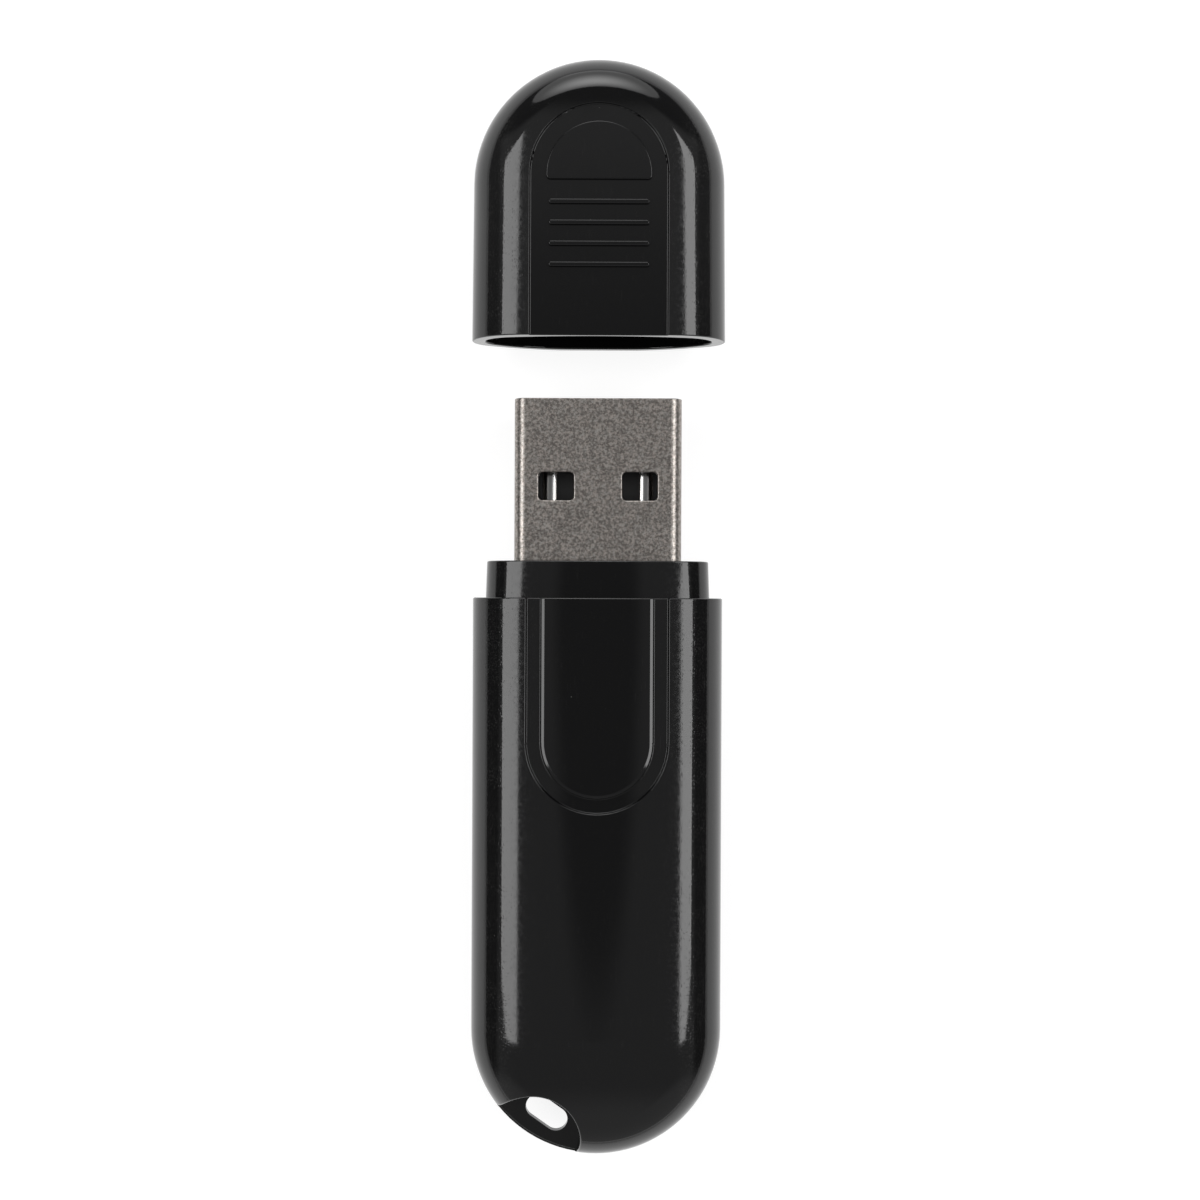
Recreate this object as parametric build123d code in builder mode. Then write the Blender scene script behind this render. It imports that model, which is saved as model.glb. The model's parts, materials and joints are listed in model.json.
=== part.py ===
from build123d import *
import os
from math import atan2, degrees
from typing import NamedTuple

# A USB flash drive that lies on its back, with its cap pulled off along +Y.
# X is its width, Y its length with the plug towards +Y, and Z its thickness.
# The origin is on the surface that it lies on, under the middle of the body.
# All sizes are in millimetres.

# The stick as a whole
body_length = 40.2  # shoulder to tail
half_width = 9.05
thickness = 8.6
wall = 1.1
mid_z = thickness / 2  # the parting plane between the two shells
shoulder_y = body_length / 2
tail_y = half_width - body_length / 2  # centre of the tail's half circle
edge_round = 0.12
margin = 1  # that a cutting shape reaches past what it cuts
groove_long_edge = 9  # the groove's rim and floor edges are longer than this
panel_long_edge = 10  # and the panel's rim edges longer than this, which its open end isn't
seam_depth = 0.08  # of the fine line where the two shells meet
seam_half = 0.04

# The back's crown is cut flat along the middle, so that the stick lies still
rest_cut = 0.3

# The collar that the cap pushes over, a little narrower at its free end
collar_half_width = 8.12
collar_length = 2.65
collar_draft = 0.09
collar_y = shoulder_y + collar_length

# The cap, drawn at the place where it lies beside the plug
cap_length = 20.4
cap_travel = 18.55
cap_mouth_half_width = 9.185
cap_dome_half_width = 9.09
cavity_half_width = 8.2
mouth_y = shoulder_y + cap_travel
cap_end_y = mouth_y + cap_length
dome_y = cap_end_y - cap_dome_half_width

# The cap's sunk panel, with a raised D and four raised grip ribs
panel_half_width = 4.9
panel_z = thickness - 0.63
panel_floor_edge = 0.1
panel_rim_edge = 0.08
panel_round_y = dome_y + 0.2
badge_radius = 3.75
badge_centre_y = dome_y + 0.05
badge_skirt = 0.35
badge_height = 0.28
badge_corner = 0.3
grip_count = 4
grip_pitch = 1.48
grip_size = (7.12, 0.32)
grip_height = 0.28
grip_first_y = dome_y - 1.87

# The U-shaped groove on the front of the body
groove_outer = 5.02
groove_inner = 3.97
groove_depth = 0.3
groove_floor_edge = 0.1
groove_rim_edge = 0.12
groove_round_y = tail_y + 20.95

# The lanyard lug: a round scoop in each face, and a slot through what is left
lug_x = -4.28
lug_y = tail_y - 7.37
lug_radius = 3.2
lug_front = 0.6  # lug's thickness in front of the parting plane
lug_back = 1.2
lug_rim = 0.2
scoop_edge = 0.2
eye_x = -3.52
eye_y = tail_y - 6.08
eye_size = (3.3, 1.7)
eye_turn = -35
eye_relief = 0.5  # the slot is this much larger all round in the back shell

# The USB-A plug
plug_width = 12.0
plug_height = 4.5
plug_sheet = 0.3
plug_corner = 0.8
plug_edge = 0.08
plug_length = 18.75
plug_tip_y = shoulder_y + 14.28
plug_rear_y = plug_tip_y - plug_length
plug_clearance = 0.05
mouth_depth = 12.0  # how far a socket's tongue goes in
window_size = (2.5, 2.0)
window_edge = 0.12  # rounding of the sheet round each window
window_x = 3.0
window_y = plug_tip_y - 6.3
leg_size = (plug_sheet, 2.0, 1.5)
tongue_width = 11.3
tongue_top = mid_z
tongue_setback = 0.4  # behind the plug's tip
contact_width = 1.0
contact_sheet = 0.24
contact_proud = 0.04  # of the tongue's face
contact_play = 0.02  # beside and under it in its slot
contact_step = 0.25  # length of the slope up onto the board
contact_x = {"contact_vbus": -3.5, "contact_d_minus": -1.0, "contact_d_plus": 1.0, "contact_gnd": 3.5}
power_contacts = ("contact_vbus", "contact_gnd")  # the two that meet a socket first
power_setback = 1.2  # contact's front end behind the plug's tip
data_setback = 2.2
tail_length = 2.5  # of a contact, on the board
solder_film = 0.01  # between a tail and the board, and beside a leg
bead_size = (1.3, 0.5, 0.2)  # behind each contact's tail
bead_corner = 0.2
leg_bead_size = (0.7, 1.1, 0.45)
leg_bead_setback = 0.4
leg_notch = 0.5  # width of the board's notch for a leg

# The circuit board; its top face is on the parting plane
board_width = 14.4
board_front_y = plug_rear_y - 0.3
board_back_y = tail_y - 2.55
board_sheet = 0.8
board_top = mid_z
board_bottom = board_top - board_sheet
board_corner = 1.2

# Posts, pins and ledges that hold the board
post_places = [
    (-5.9, plug_rear_y - 3.9),
    (5.9, plug_rear_y - 3.9),
    (-4.9, tail_y - 1.27),
    (4.9, tail_y - 1.27),
]
post_radius = 1.1
pin_radius = 0.7
pin_top = board_top + 1.6
socket_radius = 1.4
socket_hole = 0.78
socket_spare = 0.2  # depth of the hole past the pin's end
board_hole = 0.8
rib_y = shoulder_y - 3.15
rib_thickness = 1.0
ledge_x = 7.3
ledge_size = (1.4, 18.0)
ledge_y = tail_y + 11.5

# Chips and small parts
controller_place = (0.0, tail_y + 16.4)
controller_size = (7.0, 7.0, 1.4)
controller_span = 9.0
controller_row = 12  # leads along each side
controller_lead_z = 0.75
flash_place = (0.0, tail_y + 10.5)
flash_size = (12.0, 18.4, 1.0)
flash_span = 20.0
flash_row = 24
flash_lead_z = 0.55
chip_gap = 0.1  # under a chip's body
lead_pitch = 0.5
lead_width = 0.22
lead_sheet = 0.13
lead_shoulder = 0.2  # level run next to the chip
lead_foot = 0.55  # level run on the board
chip_edge = 0.12
crystal_place = (0.0, tail_y + 8.3)
crystal_size = (5.0, 3.2, 0.5)
crystal_lid = (4.3, 2.5, 0.5)
crystal_corner = 0.5
crystal_edge = 0.15
chip_part = (1.6, 0.8, 0.8)  # a small capacitor
resistor_part = (1.6, 0.8, 0.45)
terminal_length = 0.3
terminal_proud = 0.02  # of the ceramic between the terminals
led_place = (0.0, tail_y - 0.4)
led_base = (2.0, 1.25, 0.35)
led_dome = (1.2, 1.25, 0.45)


class Profile(NamedTuple):
    """Half of a section: a side arc at the edge that runs into a flatter crown arc."""

    half_width: float
    height: float
    side_radius: float
    flat: float  # half the width of the flat strip on top of the crown
    facing: int  # 1 for the front, -1 for the back

    def inset(self, distance):
        return Profile(
            self.half_width - distance,
            self.height - distance,
            self.side_radius - distance,
            self.flat,
            self.facing,
        )


front = Profile(half_width, height=mid_z, side_radius=3.75, flat=0.0, facing=1)
back = Profile(half_width, height=mid_z + rest_cut, side_radius=2.6, flat=0.0, facing=-1)
collar_front = Profile(collar_half_width, height=3.1, side_radius=2.5, flat=0.0, facing=1)
collar_back = Profile(collar_half_width, height=3.35, side_radius=1.67, flat=2.0, facing=-1)
cavity_front = Profile(cavity_half_width, height=3.2, side_radius=2.55, flat=0.0, facing=1)
cavity_back = Profile(cavity_half_width, height=3.5, side_radius=1.8, flat=2.0, facing=-1)


def crown_radius(profile):
    """The crown arc's radius, which makes it meet the side arc without a corner."""
    width, height, side_r, flat, _ = profile
    return ((width - flat - side_r) ** 2 + height**2 - side_r**2) / (2 * (height - side_r))


def on_front_crown(edge):
    """True for an edge whose middle is on the front's crown, not below it."""
    radius = crown_radius(front)
    middle = edge.center()
    return middle.Z > thickness - radius + (radius**2 - middle.X**2) ** 0.5 - edge_round / 2


def section(profile, y, both_halves=True):
    """The face that a profile encloses with the parting plane, at one place along Y."""
    width, height, side_r, flat, facing = profile
    reach = width - flat - side_r
    crown_r = crown_radius(profile)
    lean = degrees(atan2(reach, crown_r - height))
    plane = Plane(origin=(0, y, mid_z), x_dir=(1, 0, 0), z_dir=(0, -facing, 0))
    with BuildSketch(plane) as sketch:
        with BuildLine():
            Line((0, 0), (width, 0))
            CenterArc((width - side_r, 0), side_r, 0, 90 - lean)
            crown = CenterArc((flat, height - crown_r), crown_r, 90 - lean, lean)
            if flat:
                Line(crown @ 1, (0, height))
            Line((0, height), (0, 0))
        make_face()
        if both_halves:
            mirror(about=Plane.YZ)
    return sketch.sketch


def bar(profile, y_round, y_end, end_profile=None):
    """Half of a bar with a round end about y_round and a square end at y_end, cut off at Z = 0."""
    way = 1 if y_round > y_end else -1
    with BuildPart() as half_bar:
        loft([section(end_profile or profile, y_end), section(profile, y_round)])
        revolve(section(profile, y_round, both_halves=False), Axis((0, y_round, 0), (0, 0, way)), 180)
        Box(
            4 * half_width,
            4 * cap_end_y,
            thickness,
            align=(Align.CENTER, Align.CENTER, Align.MAX),
            mode=Mode.SUBTRACT,
        )
    return half_bar.part


def arch(half_span, y_round, y_open):
    """A strip with one round end about y_round, as a sketch in the XY plane."""
    with BuildSketch(Plane.XY) as sketch:
        with Locations((0, (y_round + y_open) / 2)):
            Rectangle(2 * half_span, abs(y_round - y_open))
        with Locations((0, y_round)):
            Circle(half_span)
    return sketch.sketch


def plug_passage(clearance):
    """A bar with the plug's outline, longer than the plug."""
    plane = Plane(origin=(0, plug_rear_y - margin, mid_z), x_dir=(1, 0, 0), z_dir=(0, 1, 0))
    with BuildPart() as passage:
        with BuildSketch(plane):
            RectangleRounded(
                plug_width + 2 * clearance, plug_height + 2 * clearance, plug_corner + clearance
            )
        extrude(amount=plug_length + 2 * margin)
    return passage.part


def lug_rim_cutter(outer, lug_thickness):
    """What rounds the lug's outer rim: the corner outside a quarter circle, turned about the tail."""
    side = outer.facing
    edge_x = outer.half_width - outer.side_radius + (outer.side_radius**2 - lug_thickness**2) ** 0.5
    lug_z = mid_z + side * lug_thickness
    low_z = lug_z - side * lug_rim
    with BuildPart() as cutter:
        with BuildSketch(Plane.XZ.offset(-tail_y)):
            with BuildLine():
                Polyline(
                    (edge_x - lug_rim, lug_z),
                    (edge_x - lug_rim, lug_z + side * lug_rim),
                    (edge_x + lug_rim, lug_z + side * lug_rim),
                    (edge_x + lug_rim, low_z),
                    (edge_x, low_z),
                )
                RadiusArc((edge_x, low_z), (edge_x - lug_rim, lug_z), side * lug_rim)
            make_face()
        revolve(axis=Axis((0, tail_y, 0), (0, 0, 1)))
        with Locations((lug_x, lug_y, mid_z)):
            Cylinder(lug_radius, 2 * thickness, mode=Mode.INTERSECT)
    return cutter.part


def shell(outer, collar, lug_thickness, supports, eye_growth):
    """One hollow half of the body with its half of the collar, the scoop and the slot."""
    side = outer.facing
    with BuildPart() as hollow:
        add(bar(outer.inset(wall), tail_y, shoulder_y - wall))
        with Locations((lug_x, lug_y, mid_z)):
            Cylinder(lug_radius + wall, 2 * thickness, mode=Mode.SUBTRACT)
    with BuildPart() as inner:
        add(supports)
        add(hollow.part, mode=Mode.INTERSECT)
    tip = collar._replace(half_width=collar.half_width - collar_draft)
    with BuildPart() as half:
        add(bar(outer, tail_y, shoulder_y))
        fillet(half.faces().sort_by(Axis.Y)[-1].edges().filter_by(GeomType.CIRCLE), edge_round)
        with BuildSketch(Plane.XY.offset(mid_z)):
            add(arch(half_width + margin, tail_y, shoulder_y))
            add(arch(half_width - seam_depth, tail_y, shoulder_y), mode=Mode.SUBTRACT)
        extrude(amount=side * seam_half, mode=Mode.SUBTRACT)
        add(hollow.part, mode=Mode.SUBTRACT)
        add(inner.part)
        loft([section(collar, shoulder_y), section(tip, collar_y)])
        fillet(half.faces().sort_by(Axis.Y)[-1].edges().filter_by(GeomType.CIRCLE), edge_round)
        add(plug_passage(plug_clearance), mode=Mode.SUBTRACT)
        scoop_z = mid_z + side * (lug_thickness + thickness / 2)
        with Locations((lug_x, lug_y, scoop_z)):
            Cylinder(lug_radius, thickness, mode=Mode.SUBTRACT)
        fillet(half.edges(Select.LAST).filter_by(GeomType.BSPLINE), scoop_edge)
        add(lug_rim_cutter(outer, lug_thickness), mode=Mode.SUBTRACT)
        with BuildSketch(Plane.XY.offset(mid_z)):
            with Locations((eye_x, eye_y)):
                SlotOverall(eye_size[0] + 2 * eye_growth, eye_size[1] + 2 * eye_growth, rotation=eye_turn)
        extrude(amount=side * thickness, mode=Mode.SUBTRACT)
    return half.part


# The front shell, seen from above as it lies
with BuildPart() as front_supports:
    with Locations((0, rib_y, mid_z)):
        Box(2 * half_width, rib_thickness, thickness, align=(Align.CENTER, Align.CENTER, Align.MIN))
    with Locations(*[(x, y, mid_z) for x, y in post_places]):
        Cylinder(socket_radius, thickness, align=(Align.CENTER, Align.CENTER, Align.MIN))
    with Locations(*[(x, y, mid_z) for x, y in post_places]):
        Cylinder(
            socket_hole,
            pin_top - board_top + socket_spare,
            align=(Align.CENTER, Align.CENTER, Align.MIN),
            mode=Mode.SUBTRACT,
        )

with BuildPart() as groove:
    with BuildSketch(Plane.XY.offset(mid_z)):
        add(arch(groove_outer, groove_round_y, shoulder_y + margin))
        add(arch(groove_inner, groove_round_y, shoulder_y + margin), mode=Mode.SUBTRACT)
    extrude(amount=thickness)
    add(bar(front.inset(groove_depth), tail_y, shoulder_y + margin), mode=Mode.SUBTRACT)
    floor_edges = groove.edges(Select.LAST).filter_by(lambda edge: edge.length > groove_long_edge)
    fillet(floor_edges, groove_floor_edge)

with BuildPart() as front_shell:
    add(shell(front, collar_front, lug_front, front_supports.part, 0.0))
    add(groove.part, mode=Mode.SUBTRACT)
    groove_rims = front_shell.edges(Select.LAST).filter_by(
        lambda edge: edge.length > groove_long_edge
    )
    fillet(groove_rims.filter_by(on_front_crown), groove_rim_edge)

# The back shell, which it lies on
with BuildPart() as back_supports:
    with Locations((0, rib_y, 0)):
        Box(2 * half_width, rib_thickness, mid_z, align=(Align.CENTER, Align.CENTER, Align.MIN))
    with Locations(*[(x, y, 0) for x, y in post_places]):
        Cylinder(post_radius, board_bottom, align=(Align.CENTER, Align.CENTER, Align.MIN))
    with Locations((-ledge_x, ledge_y, 0), (ledge_x, ledge_y, 0)):
        Box(*ledge_size, board_bottom, align=(Align.CENTER, Align.CENTER, Align.MIN))

with BuildPart() as rear_shell:
    add(shell(back, collar_back, lug_back, back_supports.part, eye_relief))
    with Locations(*[(x, y, board_bottom) for x, y in post_places]):
        Cylinder(pin_radius, pin_top - board_bottom, align=(Align.CENTER, Align.CENTER, Align.MIN))

# The cap
with BuildPart() as panel:
    with BuildSketch(Plane.XY.offset(panel_z)):
        add(arch(panel_half_width, panel_round_y, mouth_y - margin))
    extrude(amount=thickness)
    fillet(panel.faces().sort_by(Axis.Z)[0].edges().sort_by(Axis.Y)[1:], panel_floor_edge)

with BuildPart() as cap:
    for outer in (front, back):
        mouth = outer._replace(half_width=cap_mouth_half_width)
        add(bar(outer._replace(half_width=cap_dome_half_width), dome_y, mouth_y, mouth))
    for inner in (cavity_front, cavity_back):
        add(bar(inner, dome_y, mouth_y), mode=Mode.SUBTRACT)
    mouth_rims = cap.faces().sort_by(Axis.Y)[0].edges()
    fillet(mouth_rims, edge_round)
    add(panel.part, mode=Mode.SUBTRACT)
    panel_rims = cap.edges(Select.LAST).filter_by(lambda edge: edge.length > panel_long_edge)
    fillet(panel_rims.filter_by(GeomType.BSPLINE), panel_rim_edge)
    with BuildSketch(Plane.XY.offset(panel_z)) as badge:
        add(arch(badge_radius, badge_centre_y, badge_centre_y - badge_skirt))
        with Locations((0, badge_centre_y - badge_skirt)):
            Rectangle(
                4 * badge_radius, 2 * badge_radius, align=(Align.CENTER, Align.MAX), mode=Mode.SUBTRACT
            )
        fillet(badge.vertices().group_by(Axis.Y)[0], badge_corner)
    extrude(amount=badge_height)
    fillet(cap.faces(Select.LAST).sort_by(Axis.Z)[-1].edges(), panel_rim_edge)
    with BuildSketch(Plane.XY.offset(panel_z)):
        with Locations(*[(0, grip_first_y - row * grip_pitch) for row in range(grip_count)]):
            SlotOverall(*grip_size)
    extrude(amount=grip_height)
    fillet(cap.faces(Select.LAST).filter_by(Plane.XY).edges().group_by(Axis.Z)[-1], panel_rim_edge)

# The plug's drawn steel tube, with two latch windows in each broad face
with BuildPart() as plug_shell:
    with BuildSketch(Plane(origin=(0, plug_rear_y, mid_z), x_dir=(1, 0, 0), z_dir=(0, 1, 0))):
        RectangleRounded(plug_width, plug_height, plug_corner)
        RectangleRounded(
            plug_width - 2 * plug_sheet,
            plug_height - 2 * plug_sheet,
            plug_corner - plug_sheet,
            mode=Mode.SUBTRACT,
        )
    extrude(amount=plug_length)
    with BuildSketch(Plane.XY):
        with Locations((-window_x, window_y), (window_x, window_y)):
            RectangleRounded(*window_size, plug_sheet)
    extrude(amount=thickness, mode=Mode.SUBTRACT)
    window_rims = plug_shell.edges(Select.LAST).filter_by(Plane.XY).group_by(Axis.Z)
    fillet(window_rims[0] + window_rims[-1], window_edge)
    fillet(plug_shell.faces().sort_by(Axis.Y)[-1].outer_wire().edges(), plug_edge)
    leg_x = (plug_width - plug_sheet) / 2
    with Locations((-leg_x, plug_rear_y, mid_z), (leg_x, plug_rear_y, mid_z)):
        Box(*leg_size, align=(Align.CENTER, Align.MAX, Align.CENTER))

# The plastic tongue and the block behind it
with BuildPart() as plug_tongue:
    floor_z = mid_z - plug_height / 2 + plug_sheet
    with Locations((0, plug_rear_y, floor_z)):
        Box(
            tongue_width,
            plug_length - tongue_setback,
            tongue_top - floor_z,
            align=(Align.CENTER, Align.MIN, Align.MIN),
        )
    with Locations((0, plug_rear_y, floor_z)):
        Box(
            tongue_width,
            plug_length - mouth_depth,
            plug_height - 2 * plug_sheet,
            align=(Align.CENTER, Align.MIN, Align.MIN),
        )
    long_corners = plug_tongue.edges().filter_by(Axis.Y)
    fillet(
        long_corners.group_by(Axis.Z)[0] + long_corners.group_by(Axis.Z)[-1],
        plug_corner - plug_sheet,
    )
    slot_floor_z = tongue_top + contact_proud - contact_sheet - contact_play
    with Locations(*[(x, plug_rear_y, slot_floor_z) for x in contact_x.values()]):
        Box(
            contact_width + 2 * contact_play,
            plug_length - power_setback,
            contact_sheet + 2 * contact_play,
            align=(Align.CENTER, Align.MIN, Align.MIN),
            mode=Mode.SUBTRACT,
        )


def contact(x, setback):
    """A flat strip in the tongue, whose tail steps up onto the board."""
    top = tongue_top + contact_proud
    low = top - contact_sheet
    foot_top = board_top + contact_sheet + solder_film
    step_y = plug_rear_y - contact_play
    with BuildPart() as strip:
        with BuildSketch(Plane.YZ.offset(x - contact_width / 2)):
            with BuildLine():
                Polyline(
                    (plug_tip_y - setback, low),
                    (plug_tip_y - setback, top),
                    (step_y, top),
                    (step_y - contact_step, foot_top),
                    (step_y - tail_length, foot_top),
                    (step_y - tail_length, foot_top - contact_sheet),
                    (step_y - contact_step, foot_top - contact_sheet),
                    (step_y, low),
                    close=True,
                )
            make_face()
        extrude(amount=contact_width)
    return strip.part


# The circuit board
with BuildPart() as circuit_board:
    with BuildSketch(Plane.XY.offset(board_bottom)):
        with Locations((0, board_front_y)):
            outline = Rectangle(
                board_width, board_front_y - board_back_y, align=(Align.CENTER, Align.MAX)
            )
        chamfer(outline.vertices().group_by(Axis.Y)[0], board_corner)
        with Locations(*post_places):
            Circle(board_hole, mode=Mode.SUBTRACT)
        with Locations((-leg_x, board_front_y), (leg_x, board_front_y)):
            Rectangle(leg_notch, 2 * leg_size[1], mode=Mode.SUBTRACT)
    extrude(amount=board_sheet)


def lead(body_reach, span, height):
    """One bent lead that stands on the XY plane and points along +X."""
    foot = lead_sheet / 2
    with BuildPart() as bent:
        with BuildSketch(Plane.XZ):
            with BuildLine():
                Polyline(
                    (body_reach, height),
                    (body_reach + lead_shoulder, height),
                    (span - lead_foot, foot),
                    (span, foot),
                )
            trace(line_width=lead_sheet)
        extrude(amount=lead_width / 2, both=True)
    return bent.part


def lead_places(count, turns, centre, z, flip=0):
    """Where a row of leads goes on each side of a chip, for each turn about Z."""
    places = []
    for turn in turns:
        for place in range(count):
            along = (place - (count - 1) / 2) * lead_pitch
            spot = Location((*centre, z)) * Location((0, 0, 0), (flip, 0, turn))
            places.append(spot * Location((0, along, 0)))
    return places


with BuildPart() as controller_chip:
    with Locations((*controller_place, board_top + chip_gap)):
        Box(*controller_size, align=(Align.CENTER, Align.CENTER, Align.MIN))
    chamfer(controller_chip.faces().sort_by(Axis.Z)[-1].edges(), chip_edge)

with BuildPart() as controller_leads:
    with Locations(*lead_places(controller_row, (0, 90, 180, 270), controller_place, board_top)):
        add(lead(controller_size[0] / 2, controller_span / 2, controller_lead_z))

with BuildPart() as flash_chip:
    with Locations((*flash_place, board_bottom - chip_gap)):
        Box(*flash_size, align=(Align.CENTER, Align.CENTER, Align.MAX))
    chamfer(flash_chip.faces().sort_by(Axis.Z)[0].edges(), chip_edge)

with BuildPart() as flash_leads:
    with Locations(*lead_places(flash_row, (90, 270), flash_place, board_bottom, flip=180)):
        add(lead(flash_size[1] / 2, flash_span / 2, flash_lead_z))

with BuildPart() as crystal_base:
    with Locations((*crystal_place, board_top)):
        Box(*crystal_size, align=(Align.CENTER, Align.CENTER, Align.MIN))

with BuildPart() as crystal_cover:
    with Locations((*crystal_place, board_top + crystal_size[2])):
        Box(*crystal_lid, align=(Align.CENTER, Align.CENTER, Align.MIN))
    fillet(crystal_cover.edges().filter_by(Axis.Z), crystal_corner)
    fillet(crystal_cover.faces().sort_by(Axis.Z)[-1].edges(), crystal_edge)

# Small parts lie along X, with a metal terminal at each end
capacitor_places = [
    (-5.6, tail_y + 13.2),
    (-5.6, tail_y + 17.0),
    (5.6, tail_y + 13.2),
    (5.6, tail_y + 17.0),
    (-4.4, tail_y + 7.6),
    (4.4, tail_y + 7.6),
]
resistor_places = [
    (-4.4, tail_y + 9.2),
    (4.4, tail_y + 9.2),
    (-2.6, tail_y + 1.4),
    (2.6, tail_y + 1.4),
]


def small_bodies(places, size):
    """The ceramic middles of a row of small parts."""
    with BuildPart() as bodies:
        with Locations(*[(x, y, board_top) for x, y in places]):
            Box(
                size[0] - 2 * terminal_length,
                size[1] - 2 * terminal_proud,
                size[2] - terminal_proud,
                align=(Align.CENTER, Align.CENTER, Align.MIN),
            )
    return bodies.part


def small_terminals(places, size):
    """The two metal ends of each small part."""
    reach = (size[0] - terminal_length) / 2
    ends = [(x + way * reach, y, board_top) for x, y in places for way in (-1, 1)]
    with BuildPart() as terminals:
        with Locations(*ends):
            Box(terminal_length, size[1], size[2], align=(Align.CENTER, Align.CENTER, Align.MIN))
    return terminals.part


with BuildPart() as capacitors:
    add(small_bodies(capacitor_places, chip_part))

with BuildPart() as capacitor_terminals:
    add(small_terminals(capacitor_places, chip_part))

with BuildPart() as resistors:
    add(small_bodies(resistor_places, resistor_part))

with BuildPart() as resistor_terminals:
    add(small_terminals(resistor_places, resistor_part))

with BuildPart() as status_led:
    with Locations((*led_place, board_top)):
        Box(*led_base, align=(Align.CENTER, Align.CENTER, Align.MIN))
    with Locations((*led_place, board_top + led_base[2])):
        Box(*led_dome, align=(Align.CENTER, Align.CENTER, Align.MIN))

# Solder: a bead behind each contact's tail, and one beside each leg
with BuildPart() as contact_solder:
    bead_y = plug_rear_y - contact_play - tail_length - solder_film
    with Locations(*[(x, bead_y, board_top) for x in contact_x.values()]):
        Box(*bead_size, align=(Align.CENTER, Align.MAX, Align.MIN))
    fillet(contact_solder.edges().filter_by(Axis.Z).group_by(Axis.Y)[0], bead_corner)

with BuildPart() as leg_solder:
    bead_x = leg_x - plug_sheet / 2 - solder_film
    for side in (-1, 1):
        with Locations((side * bead_x, board_front_y - leg_bead_setback, board_top)):
            Box(
                *leg_bead_size,
                align=(Align.MIN if side < 0 else Align.MAX, Align.MAX, Align.MIN),
            )

pieces = {
    "front_shell": front_shell.part,
    "rear_shell": rear_shell.part,
    "cap": cap.part,
    "plug_shell": plug_shell.part,
    "plug_tongue": plug_tongue.part,
    "circuit_board": circuit_board.part,
    "controller_chip": controller_chip.part,
    "controller_leads": controller_leads.part,
    "flash_chip": flash_chip.part,
    "flash_leads": flash_leads.part,
    "crystal_base": crystal_base.part,
    "crystal_cover": crystal_cover.part,
    "capacitors": capacitors.part,
    "capacitor_terminals": capacitor_terminals.part,
    "resistors": resistors.part,
    "resistor_terminals": resistor_terminals.part,
    "status_led": status_led.part,
    "contact_solder": contact_solder.part,
    "leg_solder": leg_solder.part,
}
for name, x in contact_x.items():
    setback = power_setback if name in power_contacts else data_setback
    pieces[name] = contact(x, setback)

os.makedirs("parts", exist_ok=True)
for name, piece in pieces.items():
    piece.label = name
    export_step(piece, f"parts/{name}.step")
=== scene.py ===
import json
import math

import bmesh
import bpy
import numpy as np
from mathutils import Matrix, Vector


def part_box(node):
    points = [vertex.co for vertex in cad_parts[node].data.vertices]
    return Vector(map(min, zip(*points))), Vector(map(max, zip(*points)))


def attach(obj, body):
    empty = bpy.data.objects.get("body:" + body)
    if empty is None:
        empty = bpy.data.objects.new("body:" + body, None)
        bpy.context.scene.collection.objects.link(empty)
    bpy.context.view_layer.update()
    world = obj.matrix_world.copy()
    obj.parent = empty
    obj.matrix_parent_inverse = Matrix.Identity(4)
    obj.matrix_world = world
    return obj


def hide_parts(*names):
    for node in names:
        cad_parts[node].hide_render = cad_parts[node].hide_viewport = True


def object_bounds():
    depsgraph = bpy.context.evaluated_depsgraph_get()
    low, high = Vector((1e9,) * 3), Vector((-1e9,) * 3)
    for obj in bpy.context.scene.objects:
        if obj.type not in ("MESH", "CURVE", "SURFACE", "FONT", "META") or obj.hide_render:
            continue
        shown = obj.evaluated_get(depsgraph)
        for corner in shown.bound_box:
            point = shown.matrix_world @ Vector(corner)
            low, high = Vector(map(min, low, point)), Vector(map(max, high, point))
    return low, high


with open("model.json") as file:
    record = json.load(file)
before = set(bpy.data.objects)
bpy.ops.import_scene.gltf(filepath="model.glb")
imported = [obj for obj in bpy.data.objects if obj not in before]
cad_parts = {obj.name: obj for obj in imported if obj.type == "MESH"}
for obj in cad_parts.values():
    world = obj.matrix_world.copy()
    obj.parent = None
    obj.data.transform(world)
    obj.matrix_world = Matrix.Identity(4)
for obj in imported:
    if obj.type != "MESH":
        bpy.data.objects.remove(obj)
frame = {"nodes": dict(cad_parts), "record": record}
cad_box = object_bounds()

MM = 0.001
nodes = frame["nodes"]
low, high = cad_box
middle = (low + high) / 2
mid_z = middle.z
ABOVE_COLLAR = mid_z + 3.3 * MM  # a level between the collar's front and the groove's floor


def add_node(tree, kind, inputs=None, **settings):
    """A new node whose inputs are linked to a socket or set to a value."""
    made = tree.nodes.new(kind)
    for key, value in settings.items():
        setattr(made, key, value)
    for key, value in (inputs or {}).items():
        if isinstance(value, bpy.types.NodeSocket):
            tree.links.new(value, made.inputs[key])
        else:
            made.inputs[key].default_value = value
    return made


def smooth_step(tree, value, low_in, high_in, low_out=0.0, high_out=1.0):
    """The value between two inputs, as a smooth step between two outputs."""
    span = {"From Min": low_in, "From Max": high_in, "To Min": low_out, "To Max": high_out}
    return add_node(
        tree, "ShaderNodeMapRange", {"Value": value, **span}, interpolation_type="SMOOTHSTEP"
    ).outputs[0]


# Materials

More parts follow.
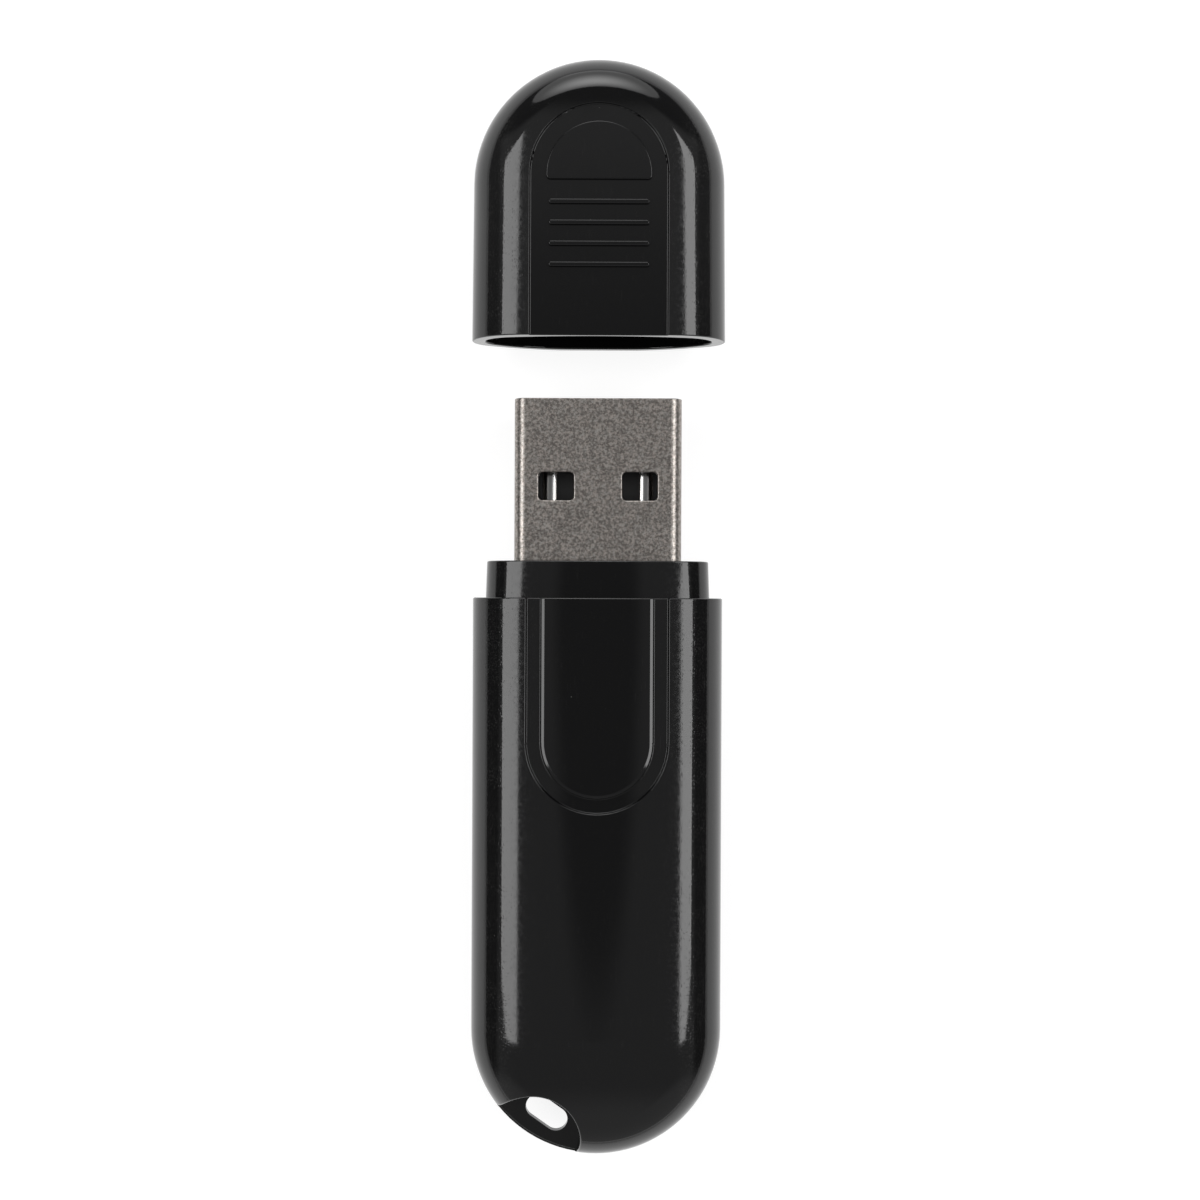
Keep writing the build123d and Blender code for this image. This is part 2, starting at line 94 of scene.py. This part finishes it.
class Surface:
    """A Principled material whose detail comes from textures in the object's own space."""

    def __init__(self, name, colour, **sockets):
        self.material = bpy.data.materials.new(name)
        self.material.use_nodes = True
        self.tree = self.material.node_tree
        self.shader = self.tree.nodes["Principled BSDF"]
        self.shader.inputs["Base Color"].default_value = (*colour, 1)
        for socket, value in sockets.items():
            self.shader.inputs[socket.replace("_", " ")].default_value = value
        self.place = self.node("ShaderNodeTexCoord").outputs["Object"]
        self.last_bump = None
        self.material.diffuse_color = (*colour, 1)

    def node(self, kind, inputs=None, **settings):
        return add_node(self.tree, kind, inputs, **settings)

    def stretched(self, x, y, z):
        """Object space with each axis scaled, for streaks."""
        return self.node("ShaderNodeMapping", {"Vector": self.place, "Scale": (x, y, z)}).outputs[0]

    def noise(self, size, detail=2.0, rough=0.55, place=None):
        """Fractal noise whose blotches are about size metres across."""
        made = self.node(
            "ShaderNodeTexNoise",
            {"Vector": place or self.place, "Scale": 1 / size, "Detail": detail, "Roughness": rough},
        )
        return made.outputs[0]

    def cells(self, size, feature="F1"):
        return self.node(
            "ShaderNodeTexVoronoi", {"Vector": self.place, "Scale": 1 / size}, feature=feature
        )

    def ramp(self, value, low_in, high_in, low_out=0.0, high_out=1.0):
        return smooth_step(self.tree, value, low_in, high_in, low_out, high_out)

    def maths(self, operation, first, second):
        return self.node("ShaderNodeMath", {0: first, 1: second}, operation=operation).outputs[0]

    def specks(self, size, share, reach=0.32):
        """Small round flecks in a share of the cells of a grid of that size."""
        cell = self.cells(size)
        dot = self.ramp(cell.outputs["Distance"], reach, reach * 0.6)
        pick = self.node("ShaderNodeSeparateColor", {"Color": cell.outputs["Color"]}).outputs[0]
        return self.maths("MULTIPLY", dot, self.ramp(pick, 1 - share, 1 - share + 0.01))

    def mix(self, factor, first, second):
        made = self.node("ShaderNodeMix", {"Factor": factor}, data_type="RGBA")
        for socket, value in ((made.inputs[6], first), (made.inputs[7], second)):
            if isinstance(value, bpy.types.NodeSocket):
                self.tree.links.new(value, socket)
            else:
                socket.default_value = (*value, 1)
        return made.outputs[2]

    def colour(self, socket):
        self.tree.links.new(socket, self.shader.inputs["Base Color"])

    def roughness(self, socket):
        self.tree.links.new(socket, self.shader.inputs["Roughness"])

    def bump(self, height, distance, strength=1.0):
        """Adds relief of that depth in metres on top of what is there already."""
        inputs = {"Height": height, "Distance": distance, "Strength": strength}
        if self.last_bump:
            inputs["Normal"] = self.last_bump
        self.last_bump = self.node("ShaderNodeBump", inputs).outputs[0]
        self.tree.links.new(self.last_bump, self.shader.inputs["Normal"])


PLASTIC_BLACK = (0.0028, 0.0028, 0.003)
WORN_GREY = (0.05, 0.049, 0.047)
PAD_SOFT_EDGE = 0.24 * MM
PAD_EDGE_PLAY = 0.02 * MM


def gloss_plastic(name, pad=None):
    """Polished black moulding: faint ripple, worn flanks, hair scratches and a little dust.

    pad is the half width and round centre of the place inside the groove, whose edge is softened.
    """
    s = Surface(name, PLASTIC_BLACK, Roughness=0.07, IOR=1.5)
    parts = s.node("ShaderNodeSeparateXYZ", {"Vector": s.place})
    off_centre = s.maths("ABSOLUTE", parts.outputs["X"], 0.0)
    flank = s.ramp(off_centre, 5.6 * MM, 6.6 * MM, 0.03, 1.0)
    patchy = s.ramp(s.noise(1.1 * MM, 3.0), 0.35, 0.65, 0.4, 1.0)
    wear = s.maths("MULTIPLY", flank, patchy)
    pits = s.maths("MULTIPLY", s.specks(0.17 * MM, 0.5, 0.45), wear)
    dust = s.specks(0.6 * MM, 0.035, 0.09)
    scratch_noise = s.noise(0.045 * MM, 1.0, 0.5, s.stretched(1.0, 0.03, 1.0))
    scratches = s.maths("MULTIPLY", s.ramp(scratch_noise, 0.71, 0.75), 0.12)
    thin_wear = s.maths("MULTIPLY", wear, 0.35)
    film = s.maths("MULTIPLY", s.ramp(s.noise(0.12 * MM, 2.0, 0.7), 0.45, 0.75), thin_wear)
    marks = s.maths("MAXIMUM", s.maths("MAXIMUM", dust, scratches), film)
    s.colour(s.mix(marks, PLASTIC_BLACK, WORN_GREY))
    s.roughness(s.ramp(s.noise(0.3 * MM, 4.0, 0.7), 0.35, 0.7, 0.04, 0.1))
    s.bump(s.noise(2.6 * MM, 2.0), 0.0012 * MM)
    s.bump(s.noise(0.11 * MM, 2.0, 0.7), 0.0003 * MM)
    s.bump(pits, 0.0022 * MM)
    if pad:
        half_span, round_y = pad
        below = s.maths("MINIMUM", s.maths("SUBTRACT", parts.outputs["Y"], round_y), 0.0)
        spot = s.node("ShaderNodeCombineXYZ", {"X": parts.outputs["X"], "Y": below}).outputs[0]
        reach = s.node("ShaderNodeVectorMath", {0: spot}, operation="LENGTH").outputs["Value"]
        span = {"From Min": half_span - PAD_SOFT_EDGE, "From Max": half_span + PAD_EDGE_PLAY}
        slope = {"Value": reach, "To Min": 1.0, "To Max": 0.0, **span}
        edge = s.node("ShaderNodeMapRange", slope).outputs[0]
        above = s.maths("GREATER_THAN", parts.outputs["Z"], ABOVE_COLLAR)
        s.bump(s.maths("MULTIPLY", edge, above), 0.055 * MM)
    return s.material


def plug_steel():
    """Matt nickel-plated sheet with a fine crystalline mottle."""
    s = Surface("plug_steel", (0.5, 0.475, 0.45), Metallic=1.0, Roughness=0.34)
    grain = s.noise(0.2 * MM, 4.0, 0.85)
    broad = s.noise(1.6 * MM, 2.0)
    warm = s.mix(s.ramp(s.noise(0.23 * MM, 2.0), 0.4, 0.6), (0.46, 0.415, 0.38), (0.42, 0.40, 0.375))
    dark = s.mix(s.ramp(s.noise(0.09 * MM, 2.0), 0.4, 0.6), (0.16, 0.143, 0.132), (0.2, 0.185, 0.172))
    s.colour(s.mix(s.ramp(grain, 0.4, 0.62), dark, warm))
    s.roughness(s.maths("ADD", s.ramp(broad, 0.3, 0.7, 0.31, 0.33), s.ramp(grain, 0.3, 0.7, 0.0, 0.06)))
    s.bump(grain, 0.004 * MM)
    return s.material


def metal(name, colour, roughness, streak=(1.0, 1.0, 1.0), size=0.12, depth=0.003):
    """Plated metal with rolling or stamping streaks."""
    s = Surface(name, colour, Metallic=1.0, Roughness=roughness)
    streaks = s.noise(size * MM, 3.0, 0.6, s.stretched(*streak))
    darker = tuple(0.72 * c for c in colour)
    s.colour(s.mix(s.ramp(streaks, 0.3, 0.7), darker, colour))
    s.roughness(s.ramp(s.noise(4 * size * MM), 0.3, 0.7, 0.8 * roughness, 1.3 * roughness))
    s.bump(streaks, depth * MM)
    return s.material


CONTACT_HALF_WIDTH = 0.5 * MM
CONTACT_BRIGHT = (0.8, 0.8, 0.79)
CONTACT_DULL = (0.58, 0.58, 0.57)


def contact_strip():
    """Plated strip that is slightly crowned across its width, with streaks along it."""
    s = Surface("contact_metal", CONTACT_BRIGHT, Metallic=1.0)
    streaks = s.noise(0.1 * MM, 2.0, 0.6, s.stretched(1.0, 0.02, 1.0))
    parts = s.node("ShaderNodeSeparateXYZ", {"Vector": s.place})
    off_centre = s.maths("ABSOLUTE", parts.outputs["X"], 0.0)
    inner, outer = (
        s.maths("ABSOLUTE", s.maths("SUBTRACT", off_centre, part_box(strip)[0].x + CONTACT_HALF_WIDTH), 0.0)
        for strip in ("contact_d_plus", "contact_gnd")
    )
    across = s.maths("DIVIDE", s.maths("MINIMUM", inner, outer), CONTACT_HALF_WIDTH)
    s.colour(s.mix(s.ramp(streaks, 0.3, 0.7), CONTACT_DULL, CONTACT_BRIGHT))
    s.roughness(s.ramp(streaks, 0.3, 0.7, 0.1, 0.18))
    s.bump(s.maths("MULTIPLY", s.maths("MULTIPLY", across, across), -1.0), 0.1 * MM)
    s.bump(streaks, 0.003 * MM)
    return s.material


def moulded(name, colour, shade, roughness, grain=0.08, depth=0.003, **sockets):
    """Plastic, resin or ceramic with a fine grain and an uneven tone."""
    s = Surface(name, colour, Roughness=roughness, **sockets)
    s.colour(s.mix(s.ramp(s.noise(8 * grain * MM, 4.0), 0.3, 0.7), colour, shade))
    s.roughness(s.ramp(s.noise(3 * grain * MM), 0.3, 0.7, 0.85 * roughness, 1.2 * roughness))
    s.bump(s.noise(grain * MM, 2.0), depth * MM)
    return s.material


def board():
    """Green solder mask over copper tracks."""
    s = Surface("board_laminate", (0.01, 0.09, 0.03), Roughness=0.35)
    tracks = s.cells(1.3 * MM, "DISTANCE_TO_EDGE").outputs[0]
    lines = s.ramp(tracks, 0.09, 0.06)
    s.colour(s.mix(lines, (0.008, 0.075, 0.028), (0.02, 0.15, 0.05)))
    s.roughness(s.ramp(s.noise(0.5 * MM), 0.3, 0.7, 0.28, 0.42))
    s.bump(lines, 0.02 * MM)
    s.bump(s.noise(0.1 * MM), 0.002 * MM)
    return s.material


materials = {
    "black_gloss_plastic": gloss_plastic("black_gloss_plastic"),
    "plug_steel": plug_steel(),
    "tongue_plastic": moulded("tongue_plastic", (0.004, 0.004, 0.004), (0.006, 0.006, 0.006), 0.4),
    "contact_metal": contact_strip(),
    "board_laminate": board(),
    "chip_epoxy": moulded("chip_epoxy", (0.012, 0.012, 0.013), (0.02, 0.02, 0.021), 0.6),
    "tinned_lead": metal("tinned_lead", (0.7, 0.7, 0.68), 0.3, size=0.05, depth=0.001),
    "ceramic_body": moulded("ceramic_body", (0.5, 0.46, 0.4), (0.42, 0.38, 0.33), 0.5, 0.05),
    "crystal_can": metal("crystal_can", (0.66, 0.63, 0.56), 0.25, (1.0, 0.1, 1.0), 0.06),
    "capacitor_ceramic": moulded("capacitor_ceramic", (0.36, 0.24, 0.15), (0.28, 0.18, 0.11), 0.45, 0.04),
    "resistor_film": moulded("resistor_film", (0.015, 0.015, 0.018), (0.03, 0.03, 0.03), 0.35, 0.04),
    "led_resin": moulded(
        "led_resin", (0.75, 0.72, 0.55), (0.65, 0.62, 0.42), 0.2, 0.06, Transmission_Weight=0.35
    ),
    "solder": metal("solder", (0.68, 0.68, 0.69), 0.28, size=0.1, depth=0.006),
}
for part in frame["record"]["subparts"]:
    target = nodes[part["node"]]
    target.data.materials.clear()
    target.data.materials.append(materials[part["material_slot"]])


# The polished mouldings: the CAD facets with the true normals of the curves they stand for

WELD = 0.0005 * MM
ON_SURFACE = 0.015 * MM
SLOPE_SLACK = 0.02  # lets a point where the outside is upright still count as on it
SAME_FACE = math.cos(math.radians(24))
CREASE = math.cos(math.radians(35))


class Crown:
    """One half of the outside: a flatter crown arc that runs into a side arc at the edge."""

    def __init__(self, side_radius, height, facing):
        self.side_radius, self.height, self.facing = side_radius, height, facing

    def shape(self, reach, half_width):
        """Height above the parting plane and lean of the normal, at a distance from the middle."""
        r, h = self.side_radius, self.height
        span = half_width - r
        radius = (span**2 + h**2 - r**2) / (2 * (h - r))
        meets = radius * np.sin(np.arctan2(span, radius - h))
        along = np.clip(reach / radius, 0, 1)
        round_the_side = np.clip((reach - (half_width - r)) / r, -1, 1)
        on_crown = reach < meets
        height = np.where(
            on_crown,
            h - radius + radius * np.sqrt(1 - along**2),
            r * np.sqrt(1 - round_the_side**2),
        )
        return height, np.where(on_crown, np.arcsin(along), np.arcsin(round_the_side))


def true_normals(points, crown, round_y, way, width_at):
    """For each point: how far it is off the outside, and the outside's own normal there."""
    x, y = points[:, 0], points[:, 1]
    beyond = np.maximum((y - round_y) * way, 0)
    reach = np.hypot(x, beyond)
    height, lean = crown.shape(reach, width_at(y))
    off = np.abs((points[:, 2] - mid_z) * crown.facing - height)
    far = np.maximum(reach, 1e-9)
    normal = np.stack(
        [np.sin(lean) * x / far, np.sin(lean) * beyond * way / far, np.cos(lean) * crown.facing], 1
    )
    level = np.abs(np.cos(lean)) + SLOPE_SLACK
    return off * np.minimum(level, 1), normal


def welded_copy(node):
    """The node's mesh with its facets joined and without its stored normals."""
    mesh = nodes[node].data.copy()
    mesh.name = node + "_polished"
    work = bmesh.new()
    work.from_mesh(mesh)
    bmesh.ops.remove_doubles(work, verts=work.verts, dist=WELD)
    bmesh.ops.dissolve_degenerate(work, edges=work.edges, dist=WELD / 5)
    work.to_mesh(mesh)
    work.free()
    for name in [a.name for a in mesh.attributes if a.name.startswith("custom_normal")]:
        mesh.attributes.remove(mesh.attributes[name])
    mesh.shade_smooth()
    return mesh


def facets(corners):
    """Each triangle's own normal, and the weight of each of its corners: area times angle."""
    ahead = np.roll(corners, -1, 1) - corners
    behind = np.roll(corners, 1, 1) - corners
    cross = np.cross(ahead[:, 0], behind[:, 0])
    area = np.linalg.norm(cross, axis=1)
    flat = cross / np.maximum(area, 1e-20)[:, None]
    cosine = (ahead * behind).sum(2) / np.maximum(
        np.linalg.norm(ahead, axis=2) * np.linalg.norm(behind, axis=2), 1e-20
    )
    return flat, area[:, None] * np.arccos(np.clip(cosine, -1, 1))


def blended_normals(vertex_count, faces, flat, weight):
    """A normal for each corner, blended over the facets round it that don't meet in a crease."""
    around = [[] for _ in range(vertex_count)]
    for face, trio in enumerate(faces):
        for corner, vertex in enumerate(trio):
            around[vertex].append((face, weight[face, corner]))
    smooth = np.zeros((len(faces), 3, 3))
    for face, trio in enumerate(faces):
        own = flat[face]
        for corner, vertex in enumerate(trio):
            total = np.zeros(3)
            for other, share in around[vertex]:
                if flat[other] @ own > CREASE:
                    total += share * flat[other]
            smooth[face, corner] = total if total.any() else own
    return smooth


def polished(node, body, crowns, round_y, way, width_at, first_y, last_y):
    """A welded copy of a shell, with the outside's own normals on it, shown in place of the node, which it
    hides.
    """
    mesh = welded_copy(node)
    points = np.array([v.co for v in mesh.vertices])
    faces = np.array([p.vertices[:] for p in mesh.polygons])
    flat, weight = facets(points[faces])
    smooth = blended_normals(len(points), faces, flat, weight)
    for crown in crowns:
        off, normal = true_normals(points, crown, round_y, way, width_at)
        in_reach = (points[:, 1] > first_y) & (points[:, 1] < last_y)
        outside = (off < ON_SURFACE) & in_reach
        fits = outside[faces] & ((normal[faces] * flat[:, None, :]).sum(2) > SAME_FACE)
        smooth[fits] = normal[faces][fits]
    smooth /= np.linalg.norm(smooth, axis=2)[:, :, None]
    mesh.normals_split_custom_set(smooth.reshape(-1, 3).tolist())
    piece = bpy.data.objects.new(node + "_polished", mesh)
    bpy.context.scene.collection.objects.link(piece)
    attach(piece, body)
    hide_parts(node)
    return piece


HALF_WIDTH = 9.05 * MM
TAIL_Y = low.y + HALF_WIDTH
SHOULDER_Y = 20.1 * MM
DOME_WIDTH = 9.09 * MM
MOUTH_WIDTH = 9.185 * MM
DOME_Y = high.y - DOME_WIDTH
MOUTH_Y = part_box("cap")[0].y
REST_CUT = 0.3 * MM  # how far the back's crown would reach below the flat that it lies on
front_crown = Crown(3.75 * MM, mid_z, 1)
back_crown = Crown(2.6 * MM, mid_z + REST_CUT, -1)


def body_width(y):
    return np.full_like(y, HALF_WIDTH)


def cap_width(y):
    along = np.clip((y - MOUTH_Y) / (DOME_Y - MOUTH_Y), 0, 1)
    return MOUTH_WIDTH + (DOME_WIDTH - MOUTH_WIDTH) * along


body_shape = (TAIL_Y, -1, body_width, low.y - MM, SHOULDER_Y)
cap_shape = (DOME_Y, 1, cap_width, MOUTH_Y, high.y + MM)
front_piece = polished("front_shell", "drive_body", [front_crown], *body_shape)
polished("rear_shell", "drive_body", [back_crown], *body_shape)
polished("cap", "cap_body", [front_crown, back_crown], *cap_shape)
PAD_HALF_WIDTH = 3.97 * MM
PAD_ROUND_Y = TAIL_Y + 20.95 * MM
front_piece.data.materials[0] = gloss_plastic("black_gloss_front", (PAD_HALF_WIDTH, PAD_ROUND_Y))


# Camera

CAMERA_HEIGHT = 135.4 * MM
CAMERA_SHIFT = (0.18 * MM, 0.475 * MM)  # off the middle of the object
CAMERA_ROLL = math.radians(0.25)
camera_data = bpy.data.cameras.new("camera")
camera_data.lens = 54.12
camera_data.sensor_width = 36
camera_data.clip_start = 0.005
camera = bpy.data.objects.new("camera", camera_data)
camera.location = middle + Vector((*CAMERA_SHIFT, CAMERA_HEIGHT - middle.z))
camera.rotation_euler = (0, 0, CAMERA_ROLL)
bpy.context.scene.collection.objects.link(camera)
bpy.context.scene.camera = camera


# Studio

BOX_HEIGHT = 0.6


def softbox(name, place, size, radiance, aim):
    """A rectangular light of that radiance, aimed at a point."""
    data = bpy.data.lights.new(name, "AREA")
    data.shape = "RECTANGLE"
    data.size, data.size_y = size
    data.energy = radiance * math.pi * size[0] * size[1]
    light = bpy.data.objects.new(name, data)
    light.location = place
    light.rotation_euler = (Vector(aim) - Vector(place)).to_track_quat("-Z", "Y").to_euler()
    light.visible_camera = False
    bpy.context.scene.collection.objects.link(light)
    return light


def glow(light, centre, reach, inner, outer):
    """Makes a light brightest at one point of its face, and dimmer with distance from it."""
    light.data.use_nodes = True
    tree = light.data.node_tree
    emission = tree.nodes["Emission"]
    place = tree.nodes.new("ShaderNodeNewGeometry").outputs["Parametric"]
    away = tree.nodes.new("ShaderNodeVectorMath")
    away.operation = "DISTANCE"
    tree.links.new(place, away.inputs[0])
    away.inputs[1].default_value = (*centre, 0)
    step = tree.nodes.new("ShaderNodeMapRange")
    step.interpolation_type = "SMOOTHSTEP"
    tree.links.new(away.outputs["Value"], step.inputs["Value"])
    step.inputs["From Max"].default_value = reach
    step.inputs["To Min"].default_value = inner
    step.inputs["To Max"].default_value = outer
    tree.links.new(step.outputs[0], emission.inputs["Strength"])


def overhead(name, x_span, y_span, radiance):
    """A level softbox that covers those slopes (run over rise) as seen from the object."""
    x = sum(x_span) / 2 * BOX_HEIGHT
    y = sum(y_span) / 2 * BOX_HEIGHT
    size = ((x_span[1] - x_span[0]) * BOX_HEIGHT, (y_span[1] - y_span[0]) * BOX_HEIGHT)
    place = (x, y, BOX_HEIGHT)
    return softbox(name, place, size, radiance, (x, y, 0))


overhead("left_softbox", (-1.07, -0.455), (-0.31, 0.62), 4.2)
overhead("right_softbox", (0.484, 1.10), (-0.31, 0.68), 4.6)
far = softbox("far_softbox", (-0.05, 1.0, 0.46), (1.12, 0.96), 1.0, (-0.05, 0.0, 0.46))
far.data.shape = "ELLIPSE"
glow(far, (0.5, 0.62), 0.46, 4.0, 0.9)

world = bpy.data.worlds.new("studio")
bpy.context.scene.world = world
world.use_nodes = True
sky = world.node_tree
sky.nodes.clear()
way = add_node(sky, "ShaderNodeTexCoord").outputs["Generated"]
parts = add_node(sky, "ShaderNodeSeparateXYZ", {"Vector": way}).outputs
sideways = add_node(sky, "ShaderNodeMath", {0: parts["X"]}, operation="ABSOLUTE").outputs[0]

# The room's brightness by direction: each step adds its change to the ones before it
levels = [
    smooth_step(sky, parts["Z"], math.cos(math.radians(15)), math.cos(math.radians(10)), 0.28, 0.13),
    smooth_step(sky, parts["Y"], -0.45, -0.62, 0.0, 0.17),
    smooth_step(sky, sideways, 0.76, 0.86, 0.0, -0.2),
    smooth_step(sky, parts["Y"], 0.08, 0.22, 0.0, 0.10),
    smooth_step(sky, parts["Y"], 0.50, 0.60, 0.0, -0.26),
    smooth_step(sky, parts["Z"], 0.06, 0.03, 0.0, 0.6),
]
total = levels[0]
for level in levels[1:]:
    total = add_node(sky, "ShaderNodeMath", {0: total, 1: level}, operation="ADD").outputs[0]
background = add_node(sky, "ShaderNodeBackground", {"Color": (1, 1, 1, 1), "Strength": total})
add_node(sky, "ShaderNodeOutputWorld", {"Surface": background.outputs[0]})

# Floor: a pale sheet, just below the object, that glows with painted light, brightest near the object and
# dimmer further out, so shadows on it fade
FLOOR_HALF_SIZE = 4.0
FLOOR_GAP = 0.02 * MM
floor_mesh = bpy.data.meshes.new("floor")
work = bmesh.new()
bmesh.ops.create_grid(work, x_segments=8, y_segments=8, size=FLOOR_HALF_SIZE)
work.to_mesh(floor_mesh)
work.free()
floor = bpy.data.objects.new("floor", floor_mesh)
floor.location = (middle.x, middle.y, low.z - FLOOR_GAP)
bpy.context.scene.collection.objects.link(floor)
paper = Surface("glowing_floor", (0.3, 0.3, 0.3), Roughness=0.9)
paper.shader.inputs["Specular IOR Level"].default_value = 0.1
paper.shader.inputs["Emission Color"].default_value = (1, 1, 1, 1)
# painted light: the floor's own glow, stronger within a few centimetres of the object than far from it
away = paper.node("ShaderNodeVectorMath", {0: paper.place}, operation="LENGTH").outputs["Value"]
painted_glow_level = paper.ramp(away, 0.06, 0.2, 0.82, 0.42)
paper.tree.links.new(painted_glow_level, paper.shader.inputs["Emission Strength"])
floor.data.materials.append(paper.material)

bpy.context.scene.view_settings.view_transform = "Standard"
